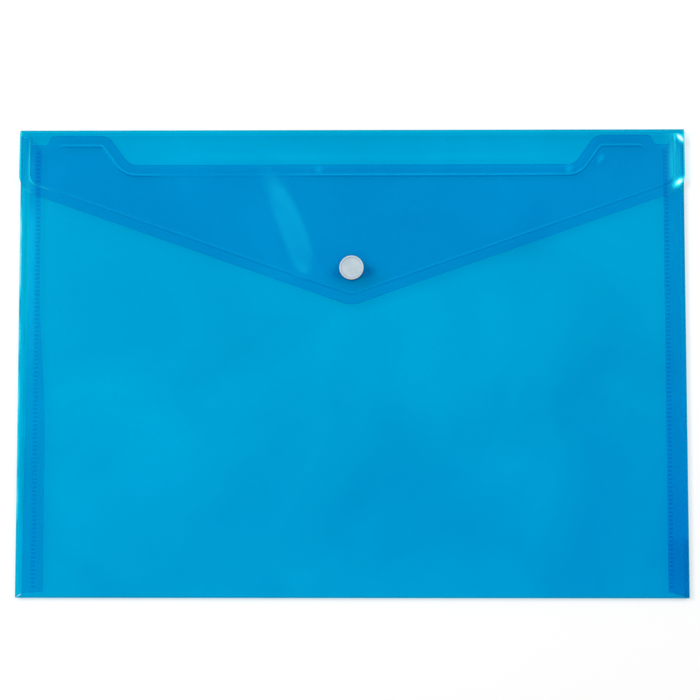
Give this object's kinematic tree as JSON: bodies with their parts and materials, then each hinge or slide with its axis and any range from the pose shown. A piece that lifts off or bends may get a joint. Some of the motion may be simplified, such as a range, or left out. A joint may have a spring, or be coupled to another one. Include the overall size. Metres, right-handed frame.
{
  "type": "document wallet",
  "caption": "Translucent blue plastic film wallet for A4 paper: a flat pocket with welded side tabs, a pointed flap on a living hinge and a white press stud.",
  "frame": {"origin": "under the middle of the back panel, on the surface that the wallet lies on", "axes": "+X across the wallet, +Y towards the flap's fold, +Z out of the front of the wallet"},
  "size_m": [0.335, 0.235, 0.0096],
  "materials": {
    "blue_film": "smooth translucent polypropylene film",
    "white_snap": "frosted moulded plastic"
  },
  "bodies": {
    "pocket": {"back_panel": "blue_film", "bottom_fold": "blue_film", "front_panel": "blue_film", "left_side_tab": "blue_film", "right_side_tab": "blue_film", "left_weld_row": "blue_film", "right_weld_row": "blue_film", "top_fold": "blue_film", "pocket_stud": "white_snap", "pocket_cap": "white_snap"},
    "flap": {"flap_panel": "blue_film", "flap_cap": "white_snap", "flap_socket": "white_snap"}
  },
  "joints": [
    {"name": "flap_fold", "type": "hinge", "parent": "pocket", "child": "flap", "pos_m": [0, 0.1175, 0.00265], "axis": [-1, 0, 0], "range_deg": [0, 175], "deforming": ["top_fold"]}
  ]
}
